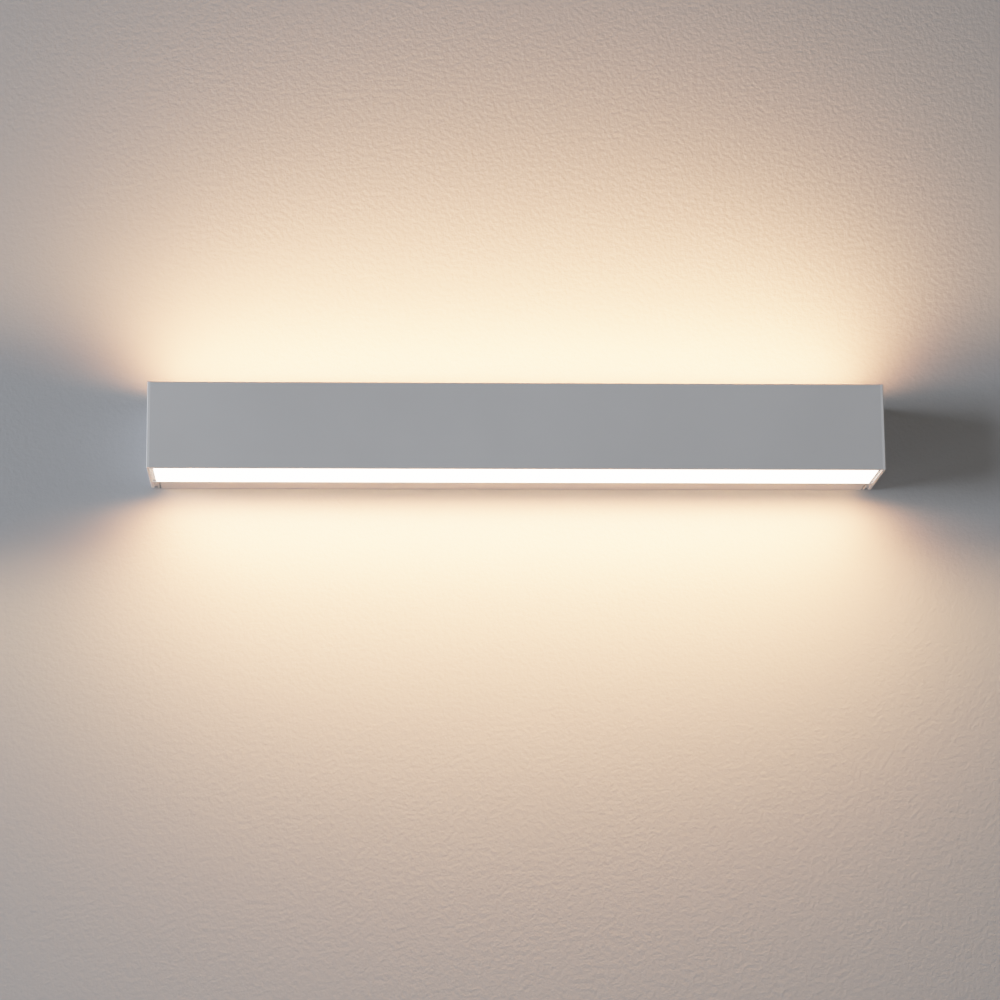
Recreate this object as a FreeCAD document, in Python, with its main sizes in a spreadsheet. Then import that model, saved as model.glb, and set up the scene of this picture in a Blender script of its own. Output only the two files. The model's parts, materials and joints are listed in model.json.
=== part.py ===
import FreeCAD
import Part
import Sketcher

import math
import os

# A linear wall lamp that lights the wall above and below it: a profile head pushed onto a wall bracket.
# Millimetres. The wall is the plane y = 0, the room lies towards -Y, +X is right and +Z is up.
# The origin is midway between the two wall-screw slots.

DIMENSIONS = {
    # Overall
    "profile_length": 600.0,
    "lamp_height": 72.0,
    "housing_depth": 57.0,
    "recess_depth": 23.0,
    # Clearances
    "fit_gap": 0.2,
    "slide_gap": 0.3,
    "thread_gap": 0.05,
    # Housing profiles
    "wall": 2.0,
    "shelf": 2.0,
    "chamber_depth": 15.0,
    "lip_width": 1.2,
    "lip_thickness": 1.5,
    "ledge_thickness": 1.0,
    "edge_break": 0.5,
    "port_size": 4.8,
    "port_offset": 2.2,
    "rib_thickness": 3.0,
    "rib_end_cut": 5.8,
    "rib_wall_gap": 0.5,
    "window_length": 160.0,
    "window_margin": 5.0,
    # Diffusers
    "diffuser_flange": 1.6,
    "diffuser_recess": 0.2,
    # End caps
    "cap_thickness": 2.5,
    "cap_corner": 3.0,
    "rim_depth": 3.0,
    "rim_recess": 1.5,
    "rear_rim_height": 8.0,
    "boss_diameter": 8.0,
    "boss_length": 2.5,
    # Wall bracket
    "sheet": 1.5,
    "flange_gap": 3.0,
    "flange_end_gap": 8.0,
    "tab_inset": 3.0,
    "tab_gap": 4.0,
    "tab_margin": 0.3,
    "tab_corner": 3.0,
    "slot_spacing": 400.0,
    "slot_width": 5.5,
    "slot_length": 14.0,
    "grommet_bore": 9.0,
    "grommet_wall": 2.5,
    "grommet_rim": 2.5,
    "grommet_rim_height": 2.5,
    # Screws: heads, shanks and sockets
    "cap_screw_head": 5.2,
    "cap_screw_shank": 2.4,
    "cap_screw_length": 14.0,
    "small_screw_head": 5.0,
    "small_screw_head_height": 1.8,
    "small_screw_shank": 2.8,
    "earth_screw_head": 7.4,
    "earth_screw_head_height": 2.4,
    "earth_screw_shank": 4.0,
    "screw_tip_gap": 0.2,
    "clamp_screw_diameter": 4.0,
    "clamp_screw_recess": 0.5,
    "clamp_screw_point": 0.8,
    "socket_width": 2.0,
    "socket_depth": 1.0,
    # LED boards
    "board_width": 16.0,
    "board_thickness": 1.6,
    "board_end_gap": 6.0,
    "board_screw_pitch": 125.0,
    "board_screw_inset": 3.2,
    "led_count": 58,
    "led_length": 3.5,
    "led_width": 2.8,
    "led_height": 0.8,
    "board_connector_length": 8.0,
    "board_connector_width": 5.0,
    "board_connector_height": 3.0,
    # Driver
    "driver_inset": 70.0,
    "driver_length": 130.0,
    "driver_width": 32.0,
    "driver_base_height": 14.0,
    "driver_cover_height": 8.0,
    "driver_wall": 1.6,
    "driver_ear_length": 8.0,
    "driver_ear_width": 14.0,
    "driver_ear_thickness": 2.5,
    "post_height": 2.0,
    "post_diameter": 5.0,
    "circuit_thickness": 1.6,
    "transformer_length": 22.0,
    "transformer_width": 19.0,
    "transformer_height": 13.0,
    "capacitor_diameter": 10.0,
    "capacitor_height": 12.0,
    "capacitor_pitch": 13.0,
    "capacitor_offset": 9.1,
    "connector_inset": 5.0,
    "connector_length": 8.0,
    "connector_width": 12.0,
    "connector_height": 7.5,
    "lead_row_low": 2.4,
    "lead_row_high": 5.4,
    "notch_width": 16.0,
    # Terminal block
    "terminal_x": 55.0,
    "terminal_gap": 1.0,
    "terminal_depth": 12.0,
    "terminal_height": 20.0,
    "pole_pitch": 10.0,
    "terminal_ear_length": 8.0,
    "terminal_ear_thickness": 3.0,
    "entry_diameter": 3.6,
    "entry_depth": 8.0,
    "entry_height": 8.5,
    "button_size": 4.0,
    "button_height": 15.0,
    "button_length": 6.5,
    "button_proud": 1.5,
    "button_travel": 1.5,
    "button_slot": 0.8,
    # Leads and earthing
    "mains_lead": 2.4,
    "mains_lead_height": 9.0,
    "led_lead": 1.6,
    "led_lead_pitch": 3.6,
    "lead_hole_inset": 50.0,
    "lead_hole_step": 14.0,
    "lead_hole_offset": 6.5,
    "bushing_bore": 6.2,
    "bushing_wall": 0.8,
    "bushing_rim": 0.8,
    "bushing_rim_height": 1.0,
    "earth_screw_x": 104.0,
    "tag_diameter": 9.0,
    "tag_thickness": 0.8,
    "barrel_diameter": 3.6,
    "barrel_length": 12.0,
}

# Expressions for the places that several pieces share
HALF_LENGTH = "(Dims.profile_length / 2)"
TOP = "(Dims.lamp_height / 2)"
BACK = "(-Dims.recess_depth)"
FRONT = f"({BACK} - Dims.housing_depth)"
BACK_INSIDE = f"({BACK} - Dims.wall)"
FRONT_INSIDE = f"({FRONT} + Dims.wall)"
MIDDLE = f"(({FRONT_INSIDE} + {BACK_INSIDE}) / 2)"
SHELF_OUTSIDE = f"({TOP} - Dims.chamber_depth)"
SHELF_INSIDE = f"({SHELF_OUTSIDE} - Dims.shelf)"
FLOOR = f"(-{SHELF_INSIDE})"
CAP_FACE = f"({HALF_LENGTH} + Dims.cap_thickness)"
MOUTH_FRONT = f"({FRONT_INSIDE} + Dims.lip_width)"
MOUTH_BACK = f"({BACK_INSIDE} - Dims.lip_width)"
LIP_INSIDE = f"({TOP} - Dims.lip_thickness)"
LEDGE_TOP = f"({LIP_INSIDE} - Dims.diffuser_flange - Dims.fit_gap)"
LEDGE_BOTTOM = f"({LEDGE_TOP} - Dims.ledge_thickness)"
PORT_FRONT = f"({FRONT_INSIDE} + Dims.port_offset + Dims.port_size / 2)"
PORT_BACK = f"({BACK_INSIDE} - Dims.port_size / 2)"
PORT_HEIGHT = f"({SHELF_INSIDE} - Dims.port_size / 2)"
PORT_FOOT = f"({SHELF_INSIDE} - Dims.port_size)"
PORT_BORE = "(Dims.cap_screw_shank + 2 * Dims.thread_gap)"
BOARD_TOP = f"({SHELF_OUTSIDE} + Dims.board_thickness)"
BOARD_FRONT = f"({MIDDLE} - Dims.board_width / 2)"
BOARD_HALF = f"({HALF_LENGTH} - Dims.rim_depth - Dims.board_end_gap)"
BOARD_SCREW_Y = f"({MIDDLE} + Dims.board_width / 2 - Dims.board_screw_inset)"
BOARD_SCREW_PLACES = range(-2, 3)
SMALL_HOLE = "(Dims.small_screw_shank + 2 * Dims.thread_gap)"
LEAD_X = {
    "lower": f"(Dims.lead_hole_inset - {HALF_LENGTH})",
    "upper": f"(Dims.lead_hole_inset - Dims.lead_hole_step - {HALF_LENGTH})",
}
LEAD_Y = f"({BOARD_FRONT} - Dims.lead_hole_offset)"
LEAD_HOLE = "(Dims.bushing_bore + 2 * Dims.bushing_wall)"
RIB_INSIDE = f"({TOP} - Dims.rib_thickness)"
BRACKET_HALF = f"({RIB_INSIDE} - Dims.slide_gap)"
TAB_FACE = f"({HALF_LENGTH} - Dims.tab_inset)"
CLAMP_Y = f"({BACK} / 2)"
CABLE_HOLE = "(Dims.grommet_bore + 2 * Dims.grommet_wall)"
DRIVER_LEFT = f"(Dims.driver_inset - {HALF_LENGTH})"
DRIVER_RIGHT = f"({DRIVER_LEFT} + Dims.driver_length)"
DRIVER_FRONT = f"({MIDDLE} - Dims.driver_width / 2)"
DRIVER_BACK = f"({MIDDLE} + Dims.driver_width / 2)"
DRIVER_JOINT = f"({FLOOR} + Dims.driver_base_height)"
DRIVER_SCREW_X = (
    f"({DRIVER_LEFT} - Dims.driver_ear_length / 2)",
    f"({DRIVER_RIGHT} + Dims.driver_ear_length / 2)",
)
CIRCUIT_BOTTOM = f"({FLOOR} + Dims.driver_wall + Dims.post_height)"
CIRCUIT_TOP = f"({CIRCUIT_BOTTOM} + Dims.circuit_thickness)"
TERMINAL_BACK = f"({BACK_INSIDE} - Dims.port_size - Dims.terminal_gap)"
TERMINAL_FRONT = f"({TERMINAL_BACK} - Dims.terminal_depth)"
POLE_X = {
    "live": "(Dims.terminal_x - Dims.pole_pitch)",
    "neutral": "Dims.terminal_x",
    "earth": "(Dims.terminal_x + Dims.pole_pitch)",
}
TERMINAL_HALF = f"({len(POLE_X)} * Dims.pole_pitch / 2)"
TERMINAL_SCREW_X = (
    f"(Dims.terminal_x - {TERMINAL_HALF} - Dims.terminal_ear_length / 2)",
    f"(Dims.terminal_x + {TERMINAL_HALF} + Dims.terminal_ear_length / 2)",
)
TERMINAL_SCREW_Y = f"({TERMINAL_BACK} - Dims.terminal_depth / 2)"
BUTTON_Z = f"({FLOOR} + Dims.button_height)"
MAINS_LEAD_Z = f"({FLOOR} + Dims.mains_lead_height)"

V = FreeCAD.Vector
RIGHT = V(1, 0, 0)
UP = V(0, 0, 1)
SAME = 1e-6
# Share of a lead's shorter run that a bend takes up, and of a sheet's thickness that a fold's outside takes
ARC_SHARE = 0.45
BEND_SHARE = 0.6
# Length of a cut that passes right through, in thicknesses
THROUGH = 3
COUNTERSINK_ANGLE = 90

doc = FreeCAD.newDocument("WallLamp")
sheet = doc.addObject("Spreadsheet::Sheet", "Dims")
subparts = []


# Helpers for the sheet and the document


def fill_sheet():
    """Writes each driving dimension into a cell with its name as the alias."""
    for row, (name, number) in enumerate(DIMENSIONS.items(), 1):
        sheet.set(f"A{row}", name)
        sheet.set(f"B{row}", str(number))
        sheet.setAlias(f"B{row}", name)
    doc.recompute()


def value(expression):
    """The number that an expression of the sheet's cells gives."""
    return float(sheet.evalExpression(expression))


def keep(feature):
    """Marks a feature as a sub-part, which gets a file of its own."""
    subparts.append(feature)
    return feature


def same(first, second):
    return abs(first - second) < SAME


# Helpers for bodies with sketches


def new_body(label):
    return keep(doc.addObject("PartDesign::Body", label))


def new_sketch(body, name, plane, offset="0"):
    """A sketch on one of the body's own origin planes, moved along the plane's normal."""
    sketch = body.newObject("Sketcher::SketchObject", name)
    support = next(item for item in body.Origin.OriginFeatures if item.Role == plane)
    sketch.AttachmentSupport = [(support, "")]
    sketch.MapMode = "FlatFace"
    sketch.setExpression("AttachmentOffset.Base.z", offset)
    return sketch


def tie(sketch, constraints):
    """Adds constraints, each with the expression that drives it, or None."""
    indexes = sketch.addConstraint([constraint for constraint, _ in constraints])
    for index, (_, expression) in zip(indexes, constraints):
        if expression:
            sketch.setExpression(f"Constraints[{index}]", expression)


def at_point(geometry, end, u, v):
    """Constraints that put a point of a sketch's geometry at a pair of expressions."""
    return [
        (Sketcher.Constraint("DistanceX", -1, 1, geometry, end, value(u)), u),
        (Sketcher.Constraint("DistanceY", -1, 1, geometry, end, value(v)), v),
    ]


def polygon(sketch, points):
    """A closed polygon whose corners follow pairs of expressions."""
    first = sketch.GeometryCount
    count = len(points)
    corners = [V(value(u), value(v), 0) for u, v in points]
    constraints = []
    for index, (u, v) in enumerate(points):
        following = (index + 1) % count
        sketch.addGeometry(Part.LineSegment(corners[index], corners[following]), False)
        constraints.append((Sketcher.Constraint("Coincident", first + index, 2, first + following, 1), None))
        constraints += at_point(first + index, 1, u, v)
    tie(sketch, constraints)


def rectangle(sketch, low_u, high_u, low_v, high_v):
    polygon(sketch, [(low_u, low_v), (high_u, low_v), (high_u, high_v), (low_u, high_v)])


def circle(sketch, u, v, diameter):
    index = sketch.GeometryCount
    sketch.addGeometry(Part.Circle(V(value(u), value(v), 0), UP, value(diameter) / 2), False)
    size = (Sketcher.Constraint("Diameter", index, value(diameter)), diameter)
    tie(sketch, at_point(index, 3, u, v) + [size])


def slot(sketch, u, v, length, width):
    """A slot with round ends that runs along the sketch's first axis."""
    left = f"({u}) - (({length}) - ({width})) / 2"
    right = f"({u}) + (({length}) - ({width})) / 2"
    radius = value(width) / 2
    start = V(value(left), value(v), 0)
    end = V(value(right), value(v), 0)
    side = V(0, radius, 0)
    first = sketch.GeometryCount
    arc_left, line_low, arc_right, line_high = range(first, first + 4)
    quarter = math.pi / 2
    sketch.addGeometry(Part.ArcOfCircle(Part.Circle(start, UP, radius), quarter, 3 * quarter), False)
    sketch.addGeometry(Part.LineSegment(start - side, end - side), False)
    sketch.addGeometry(Part.ArcOfCircle(Part.Circle(end, UP, radius), -quarter, quarter), False)
    sketch.addGeometry(Part.LineSegment(end + side, start + side), False)
    loop = [arc_left, line_low, arc_right, line_high, arc_left]
    constraints = [(Sketcher.Constraint("Tangent", a, 2, b, 1), None) for a, b in zip(loop, loop[1:])]
    constraints += at_point(arc_left, 3, left, v)
    constraints += [
        (Sketcher.Constraint("Horizontal", line_low), None),
        (Sketcher.Constraint("Equal", arc_left, arc_right), None),
        (Sketcher.Constraint("DistanceX", -1, 1, arc_right, 3, value(right)), right),
        (Sketcher.Constraint("Diameter", arc_left, value(width)), width),
    ]
    tie(sketch, constraints)


def pad(body, sketch, length, symmetric=False, reverse=False):
    feature = body.newObject("PartDesign::Pad", f"{sketch.Name}_pad")
    feature.Profile = sketch
    feature.SideType = "Symmetric" if symmetric else "One side"
    feature.Reversed = reverse
    feature.setExpression("Length", length)
    doc.recompute()
    return feature


def pocket(body, sketch, length, symmetric=True, reverse=False):
    before = body.Shape.Volume
    feature = body.newObject("PartDesign::Pocket", f"{sketch.Name}_pocket")
    feature.Profile = sketch
    feature.SideType = "Symmetric" if symmetric else "One side"
    feature.Reversed = reverse
    feature.setExpression("Length", length)
    doc.recompute()
    if body.Shape.Volume > before - SAME:
        raise RuntimeError(f"{feature.Name} cuts nothing")
    return feature


def dress(body, kind, name, test, property_name, size):
    """A Fillet or Chamfer on the edges of the body's last feature that pass a test."""
    base = body.Tip
    edges = [f"Edge{number}" for number, edge in enumerate(base.Shape.Edges, 1) if test(edge)]
    feature = body.newObject(f"PartDesign::{kind}", name)
    feature.Base = (base, edges)
    feature.setExpression(property_name, size)
    doc.recompute()


def runs_along(edge, axis):
    return edge.tangentAt(edge.FirstParameter).cross(axis).Length < SAME


# Helpers for primitives


def place(feature, point, axis=UP):
    """Puts a feature at a point of three expressions, with its own +Z turned to the axis."""
    feature.Placement = FreeCAD.Placement(V(), FreeCAD.Rotation(UP, axis))
    for letter, expression in zip("xyz", point):
        feature.setExpression(f"Placement.Base.{letter}", expression)


def along(point, axis, distance):
    """The point moved by a distance along one of the frame's axes."""
    return tuple(
        f"({start}) + ({share:g}) * ({distance})" if share else start
        for start, share in zip(point, axis)
    )


def primitive(kind, name, point, axis, sizes):
    feature = doc.addObject(f"Part::{kind}", name)
    for property_name, expression in sizes.items():
        feature.setExpression(property_name, expression)
    place(feature, point, axis)
    return feature


def block(name, x, y, z):
    """A block between a low and a high expression along each axis."""
    sizes = {
        side: f"({high}) - ({low})"
        for side, (low, high) in zip(("Length", "Width", "Height"), (x, y, z))
    }
    return primitive("Box", name, (x[0], y[0], z[0]), UP, sizes)


def cylinder(name, point, axis, diameter, length):
    return primitive("Cylinder", name, point, axis, {"Radius": f"({diameter}) / 2", "Height": length})


def cone(name, point, axis, first_diameter, last_diameter, length):
    sizes = {"Radius1": f"({first_diameter}) / 2", "Radius2": f"({last_diameter}) / 2", "Height": length}
    return primitive("Cone", name, point, axis, sizes)


def socket(name, point, axis):
    """The hexagon that a key fits, cut into a screw's head."""
    feature = primitive("Prism", name, point, axis, {"Height": "Dims.socket_depth"})
    feature.Polygon = 6
    feature.setExpression("Circumradius", "Dims.socket_width / sqrt(3)")
    return feature


def fuse(name, features):
    feature = doc.addObject("Part::MultiFuse", name)
    feature.Shapes = features
    feature.Refine = True
    return feature


def cut(name, base, tools):
    feature = doc.addObject("Part::Cut", name)
    feature.Base = base
    feature.Tool = tools[0] if len(tools) == 1 else fuse(f"{name}_tools", tools)
    return feature


def group(label, features):
    """Several separate solids as one sub-part."""
    feature = doc.addObject("Part::Compound", label)
    feature.Links = features
    return keep(feature)


def mirrored(label, source, normal):
    feature = doc.addObject("Part::Mirroring", label)
    feature.Source = source
    feature.Normal = normal
    return keep(feature)


def pan_screw(name, point, axis, kind, reach):
    """A socket screw: point is under the head, and the shank reaches from there along the axis."""
    head_height = f"Dims.{kind}_head_height"
    top = along(point, -axis, head_height)
    head = cylinder(f"{name}_head", top, axis, f"Dims.{kind}_head", head_height)
    shank = cylinder(f"{name}_shank", point, axis, f"Dims.{kind}_shank", reach)
    blank = fuse(f"{name}_blank", [head, shank])
    return cut(name, blank, [socket(f"{name}_socket", top, axis)])


def tube(label, points, diameter):
    """A round lead along straight runs joined by tangent arcs, each as large as its runs allow."""
    corners = [V(*(value(expression) for expression in point)) for point in points]
    edges = []
    radii = []
    start = corners[0]
    for before, corner, after in zip(corners, corners[1:], corners[2:]):
        back = (before - corner).normalize()
        onward = (after - corner).normalize()
        half_turn = (math.pi - back.getAngle(onward)) / 2
        trim = ARC_SHARE * min((before - corner).Length, (after - corner).Length)
        radius = trim / math.tan(half_turn)
        bisector = (back + onward).normalize()
        inside = radius / math.cos(half_turn) - radius
        first = corner + back * trim
        last = corner + onward * trim
        edges.append(Part.LineSegment(start, first).toShape())
        edges.append(Part.Arc(first, corner + bisector * inside, last).toShape())
        radii.append(radius)
        start = last
    edges.append(Part.LineSegment(start, corners[-1]).toShape())
    path = Part.Wire(edges)
    section = Part.Wire(Part.Circle(corners[0], corners[1] - corners[0], value(diameter) / 2).toShape())
    shape = path.makePipeShell([section], True, False)
    ratio = shape.Volume / (path.Length * math.pi * (value(diameter) / 2) ** 2)
    print(label, "bend radii", [round(radius, 1) for radius in radii], "volume ratio", round(ratio, 4))
    feature = doc.addObject("Part::Feature", label)
    feature.Shape = shape
    return feature


# The wall bracket and its grommet


def make_bracket():
    body = new_body("wall_bracket")
    plate = new_sketch(body, "bracket_plate", "XZ_Plane")
    rectangle(plate, f"-{TAB_FACE}", TAB_FACE, f"-{BRACKET_HALF}", BRACKET_HALF)
    circle(plate, "0", "0", CABLE_HOLE)
    for side in (-1, 1):
        slot(plate, f"{side} * Dims.slot_spacing / 2", "0", "Dims.slot_length", "Dims.slot_width")
    pad(body, plate, "Dims.sheet")

    flanges = new_sketch(body, "bracket_flanges", "YZ_Plane")
    flange_edge = f"({BACK} + Dims.flange_gap)"
    flange_inside = f"({BRACKET_HALF} - Dims.sheet)"
    for low, high in ((f"-{BRACKET_HALF}", f"-{flange_inside}"), (flange_inside, BRACKET_HALF)):
        rectangle(flanges, flange_edge, "0", low, high)
    pad(body, flanges, f"2 * ({TAB_FACE} - Dims.flange_end_gap)", symmetric=True)

    tab_edge = f"({BACK} + Dims.tab_gap)"
    tab_half = f"({TOP} - Dims.tab_margin)"
    for name, offset, reverse in (("right", TAB_FACE, True), ("left", f"-{TAB_FACE}", False)):
        tab = new_sketch(body, f"bracket_tab_{name}", "YZ_Plane", offset)
        rectangle(tab, tab_edge, "0", f"-{tab_half}", tab_half)
        pad(body, tab, "Dims.sheet", reverse=reverse)

    def is_tab_corner(edge):
        middle = edge.CenterOfMass
        return (
            runs_along(edge, RIGHT)
            and same(middle.y, value(tab_edge))
            and same(abs(middle.z), value(tab_half))
        )

    def is_bend(edge):
        middle = edge.CenterOfMass
        return (
            runs_along(edge, RIGHT)
            and same(middle.y, 0)
            and same(abs(middle.z), value(BRACKET_HALF))
            and edge.Length > value("Dims.slot_spacing")
        )

    dress(body, "Fillet", "tab_corners", is_tab_corner, "Radius", "Dims.tab_corner")
    dress(body, "Fillet", "flange_bends", is_bend, "Radius", f"{BEND_SHARE} * Dims.sheet")


def make_grommet():
    """A rubber bush pushed into the bracket's cable hole from the room side, flush with the wall."""
    body = new_body("cable_grommet")
    bore = "Dims.grommet_bore / 2"
    neck = f"{CABLE_HOLE} / 2 - Dims.thread_gap"
    rim = f"{CABLE_HOLE} / 2 + Dims.grommet_rim"
    rim_top = "(-Dims.sheet - Dims.grommet_rim_height)"
    section = new_sketch(body, "grommet_section", "XY_Plane")
    polygon(
        section,
        [
            (bore, "0"),
            (neck, "0"),
            (neck, "-Dims.sheet"),
            (rim, "-Dims.sheet"),
            (rim, f"{rim_top} + Dims.grommet_rim_height / 2"),
            (f"{rim} - Dims.grommet_rim_height / 2", rim_top),
            (bore, rim_top),
        ],
    )
    turned = body.newObject("PartDesign::Revolution", "grommet_turned")
    turned.Profile = section
    turned.ReferenceAxis = (section, ["V_Axis"])
    turned.Angle = 360


# The housing: the front profile carries everything, and the back profile closes it


def mirrored_section(section, upper_half):
    """A closed section from the corners of its upper half."""
    polygon(section, upper_half + [(y, f"-({z})") for y, z in reversed(upper_half)])


def make_front_profile():
    """The front plate with both shelves, and two screw ports along each shelf."""
    body = new_body("front_profile")
    section = new_sketch(body, "front_section", "YZ_Plane")
    front_port_start = f"({PORT_FRONT} - Dims.port_size / 2)"
    front_port_end = f"({PORT_FRONT} + Dims.port_size / 2)"
    back_port_start = f"({BACK_INSIDE} - Dims.port_size)"
    upper_half = [
        (FRONT, f"{TOP} - Dims.edge_break"),
        (f"{FRONT} + Dims.edge_break", TOP),
        (MOUTH_FRONT, TOP),
        (MOUTH_FRONT, LIP_INSIDE),
        (FRONT_INSIDE, LIP_INSIDE),
        (FRONT_INSIDE, LEDGE_TOP),
        (MOUTH_FRONT, LEDGE_TOP),
        (MOUTH_FRONT, LEDGE_BOTTOM),
        (FRONT_INSIDE, LEDGE_BOTTOM),
        (FRONT_INSIDE, SHELF_OUTSIDE),
        (BACK_INSIDE, SHELF_OUTSIDE),
        (BACK_INSIDE, PORT_FOOT),
        (back_port_start, PORT_FOOT),
        (back_port_start, SHELF_INSIDE),
        (front_port_end, SHELF_INSIDE),
        (front_port_end, PORT_FOOT),
        (front_port_start, PORT_FOOT),
        (front_port_start, SHELF_INSIDE),
        (FRONT_INSIDE, SHELF_INSIDE),
    ]
    mirrored_section(section, upper_half)
    for y in (PORT_FRONT, PORT_BACK):
        for z in (PORT_HEIGHT, f"-{PORT_HEIGHT}"):
            circle(section, y, z, PORT_BORE)
    pad(body, section, "Dims.profile_length", symmetric=True)

    shelf_middle = f"({SHELF_INSIDE} + Dims.shelf / 2)"
    for side, sign in (("upper", ""), ("lower", "-")):
        holes = new_sketch(body, f"{side}_shelf_holes", "XY_Plane", f"{sign}{shelf_middle}")
        circle(holes, LEAD_X[side], LEAD_Y, LEAD_HOLE)
        for place_number in BOARD_SCREW_PLACES:
            circle(holes, f"{place_number} * Dims.board_screw_pitch", BOARD_SCREW_Y, SMALL_HOLE)
        if side == "lower":
            for x in DRIVER_SCREW_X:
                circle(holes, x, MIDDLE, SMALL_HOLE)
            for x in TERMINAL_SCREW_X:
                circle(holes, x, TERMINAL_SCREW_Y, SMALL_HOLE)
            circle(holes, "Dims.earth_screw_x", MIDDLE, "Dims.earth_screw_shank + 2 * Dims.thread_gap")
        pocket(body, holes, f"{THROUGH} * Dims.shelf")


def make_back_profile():
    """The rear wall and its ribs, held between the shelves and the caps' rear rims."""
    body = new_body("back_profile")
    section = new_sketch(body, "back_section", "YZ_Plane")
    upper_half = [
        (BACK_INSIDE, LEDGE_BOTTOM),
        (MOUTH_BACK, LEDGE_BOTTOM),
        (MOUTH_BACK, LEDGE_TOP),
        (BACK_INSIDE, LEDGE_TOP),
        (BACK_INSIDE, LIP_INSIDE),
        (MOUTH_BACK, LIP_INSIDE),
        (MOUTH_BACK, TOP),
        (BACK, TOP),
    ]
    mirrored_section(section, upper_half)
    pad(body, section, "Dims.profile_length", symmetric=True)

    ribs = new_sketch(body, "back_ribs", "YZ_Plane")
    for low, high in ((RIB_INSIDE, TOP), (f"-{TOP}", f"-{RIB_INSIDE}")):
        rectangle(ribs, BACK, "-Dims.rib_wall_gap", low, high)
    pad(body, ribs, "Dims.profile_length - 2 * Dims.rib_end_cut", symmetric=True)

    window = new_sketch(body, "wiring_window", "XZ_Plane", f"-({BACK} - Dims.wall / 2)")
    window_top = f"({SHELF_INSIDE} - Dims.window_margin)"
    rectangle(window, "-Dims.window_length / 2", "Dims.window_length / 2", f"-{window_top}", window_top)
    pocket(body, window, f"{THROUGH} * Dims.wall")


# The end caps and their screws


def make_end_caps():
    body = new_body("right_end_cap")
    plate = new_sketch(body, "cap_plate", "YZ_Plane", HALF_LENGTH)
    rectangle(plate, FRONT, "0", f"-{TOP}", TOP)
    pad(body, plate, "Dims.cap_thickness")

    def is_rear_corner(edge):
        return runs_along(edge, RIGHT) and same(edge.CenterOfMass.y, 0)

    def is_outer_edge(edge):
        return all(same(vertex.X, value(CAP_FACE)) for vertex in edge.Vertexes)

    dress(body, "Fillet", "cap_corners", is_rear_corner, "Radius", "Dims.cap_corner")
    dress(body, "Chamfer", "cap_edges", is_outer_edge, "Size", "Dims.edge_break")

    rims = new_sketch(body, "cap_rims", "YZ_Plane", HALF_LENGTH)
    rim_low = f"({SHELF_OUTSIDE} + Dims.fit_gap)"
    rim_high = f"({TOP} - Dims.rim_recess)"
    for low, high in ((rim_low, rim_high), (f"-{rim_high}", f"-{rim_low}")):
        rectangle(rims, f"{MOUTH_FRONT} + Dims.fit_gap", f"{MOUTH_BACK} - Dims.fit_gap", low, high)
    pad(body, rims, "Dims.rim_depth", reverse=True)

    rear_rims = new_sketch(body, "cap_rear_rims", "YZ_Plane", HALF_LENGTH)
    rear_low = f"({rim_high} - Dims.rear_rim_height)"
    for low, high in ((rear_low, rim_high), (f"-{rim_high}", f"-{rear_low}")):
        rectangle(rear_rims, f"{BACK} + Dims.fit_gap", "-Dims.cap_corner", low, high)
    pad(body, rear_rims, "Dims.boss_length", reverse=True)

    boss = new_sketch(body, "clamp_boss", "YZ_Plane", HALF_LENGTH)
    circle(boss, CLAMP_Y, "0", "Dims.boss_diameter")
    pad(body, boss, "Dims.boss_length", reverse=True)
    thread = new_sketch(body, "clamp_thread", "YZ_Plane", HALF_LENGTH)
    circle(thread, CLAMP_Y, "0", "Dims.clamp_screw_diameter")
    pocket(body, thread, f"{THROUGH} * (Dims.cap_thickness + Dims.boss_length)")

    centres = new_sketch(body, "cap_screw_centres", "YZ_Plane", CAP_FACE)
    for y in (PORT_FRONT, PORT_BACK):
        for sign in ("", "-"):
            circle(centres, y, f"{sign}{PORT_HEIGHT}", PORT_BORE)
    doc.recompute()
    holes = body.newObject("PartDesign::Hole", "cap_screw_holes")
    holes.Profile = centres
    doc.recompute()
    holes.ThreadType = "None"
    holes.DepthType = "ThroughAll"
    holes.HoleCutType = "Countersink"
    holes.HoleCutCustomValues = True
    holes.HoleCutCountersinkAngle = COUNTERSINK_ANGLE
    holes.setExpression("Diameter", PORT_BORE)
    holes.setExpression("HoleCutDiameter", "Dims.cap_screw_head + 2 * Dims.thread_gap")
    doc.recompute()
    mirrored("left_end_cap", body, RIGHT)


def make_cap_screws():
    head = "Dims.cap_screw_head"
    shank = "Dims.cap_screw_shank"
    head_height = f"(({head} - {shank}) / 2)"
    shank_length = f"Dims.cap_screw_length - {head_height}"
    screws = []
    for row, y in (("front", PORT_FRONT), ("back", PORT_BACK)):
        for side, sign in (("upper", ""), ("lower", "-")):
            name = f"cap_screw_{side}_{row}"
            face = (CAP_FACE, y, f"{sign}{PORT_HEIGHT}")
            neck = along(face, -RIGHT, head_height)
            parts = [
                cone(f"{name}_head", face, -RIGHT, head, shank, head_height),
                cylinder(f"{name}_shank", neck, -RIGHT, shank, shank_length),
            ]
            blank = fuse(f"{name}_blank", parts)
            screws.append(cut(name, blank, [socket(f"{name}_socket", face, -RIGHT)]))
    right_screws = group("right_end_cap_screws", screws)
    mirrored("left_end_cap_screws", right_screws, RIGHT)


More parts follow.
